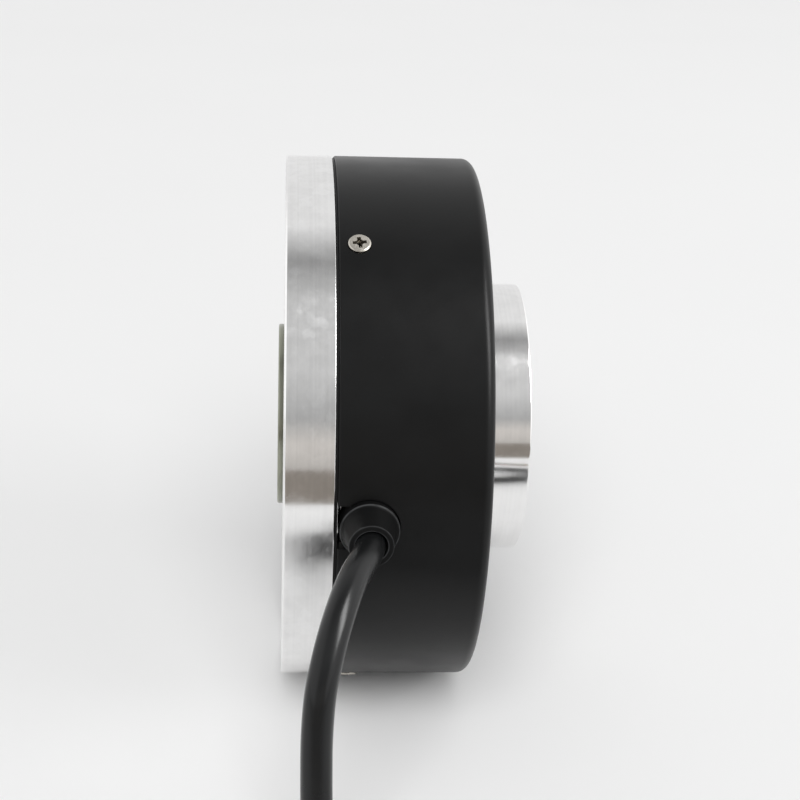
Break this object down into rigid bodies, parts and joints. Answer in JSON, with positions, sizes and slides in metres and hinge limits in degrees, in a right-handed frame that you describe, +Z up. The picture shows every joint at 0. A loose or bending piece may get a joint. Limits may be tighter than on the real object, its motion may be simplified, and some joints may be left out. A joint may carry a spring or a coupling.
{
  "type": "rotary encoder",
  "caption": "Hollow-shaft rotary encoder with an aluminium mounting flange, black cover, clamping hub and a free signal lead.",
  "frame": {"origin": "on the surface the encoder stands on, under the middle of its length and width (the lead left out)", "axes": "+X along the shaft axis from the mounting flange to the clamping hub, -Y the way the lead leaves the cover, +Z up; the shaft axis is 50 mm above the origin"},
  "size_m": [0.0746, 0.2077, 0.1],
  "materials": {
    "flange_aluminium": "lathe-turned, fine circumferential lines, a few water spots",
    "hub_aluminium": "fine turned",
    "cover_black": "matt black coating",
    "black_oxide": "black oxide",
    "screw_nickel": "nickel plated",
    "bearing_steel": "ground",
    "shaft_steel": "turned steel, dull",
    "brass": "machined",
    "black_rubber": "moulded, matt",
    "grey_felt": "pressed felt",
    "cable_jacket": "smooth semi-gloss flexible jacket",
    "board_green": "solder mask",
    "black_plastic": "moulded",
    "white_nylon": "moulded",
    "disc_glass": "polished, with a fine dark track",
    "lamp_clear": "clear moulded",
    "capacitor_can": "drawn can",
    "lead_red": "extruded",
    "lead_black": "extruded",
    "lead_green": "extruded",
    "lead_white": "extruded",
    "lead_yellow": "extruded"
  },
  "bodies": {
    "stator": {"mounting_flange": "flange_aluminium", "cover_gasket": "black_rubber", "cover": "cover_black", "cover_screw_1": "screw_nickel", "cover_screw_2": "screw_nickel", "cover_screw_3": "screw_nickel", "left_dust_seal": "black_rubber", "right_dust_seal": "grey_felt", "left_bearing_outer_race": "bearing_steel", "left_bearing_shield": "bearing_steel", "right_bearing_outer_race": "bearing_steel", "right_bearing_shield": "bearing_steel", "outer_bearing_spacer": "hub_aluminium", "bearing_circlip": "bearing_steel", "circuit_board": "board_green", "board_standoff_1": "brass", "board_standoff_2": "brass", "board_standoff_3": "brass", "board_screw_1": "bearing_steel", "board_screw_2": "bearing_steel", "board_screw_3": "bearing_steel", "reader_bracket": "black_plastic", "lamp": "lamp_clear", "light_sensor": "black_plastic", "mask_plate": "disc_glass", "line_driver_chip": "black_plastic", "regulator_chip": "black_plastic", "filter_capacitor": "capacitor_can", "cable_boot": "black_rubber", "cable_clamp": "white_nylon", "clamp_screw_1": "bearing_steel", "clamp_screw_2": "bearing_steel", "board_header": "white_nylon", "inner_loom": "lead_black", "cable": "cable_jacket", "cable_coil": "cable_jacket", "cable_tail": "cable_jacket", "coil_tie": "black_plastic", "end_sleeve": "black_rubber", "lead_red": "lead_red", "lead_black": "lead_black", "lead_green": "lead_green", "lead_white": "lead_white", "lead_yellow": "lead_yellow"},
    "rotor": {"hollow_shaft": "shaft_steel", "clamp_ring": "hub_aluminium", "set_screw_1": "black_oxide", "set_screw_2": "black_oxide", "disc_hub": "hub_aluminium", "code_disc": "disc_glass", "disc_clamp_ring": "brass", "left_bearing_inner_race": "bearing_steel", "right_bearing_inner_race": "bearing_steel", "inner_bearing_spacer": "bearing_steel"},
    "left_balls": {"left_ball_cage": "brass"},
    "right_balls": {"right_ball_cage": "brass"}
  },
  "joints": [
    {"name": "shaft_spin", "type": "hinge", "parent": "stator", "child": "rotor", "pos_m": [0, 0, 0.05], "axis": [1, 0, 0], "continuous": true},
    {"name": "left_balls_orbit", "type": "hinge", "parent": "stator", "child": "left_balls", "pos_m": [0, 0, 0.05], "axis": [1, 0, 0], "continuous": true},
    {"name": "right_balls_orbit", "type": "hinge", "parent": "stator", "child": "right_balls", "pos_m": [0, 0, 0.05], "axis": [1, 0, 0], "continuous": true}
  ],
  "couplings": [
    {"joint": "left_balls_orbit", "follows": "shaft_spin", "ratio": 0.4647},
    {"joint": "right_balls_orbit", "follows": "shaft_spin", "ratio": 0.4647}
  ]
}
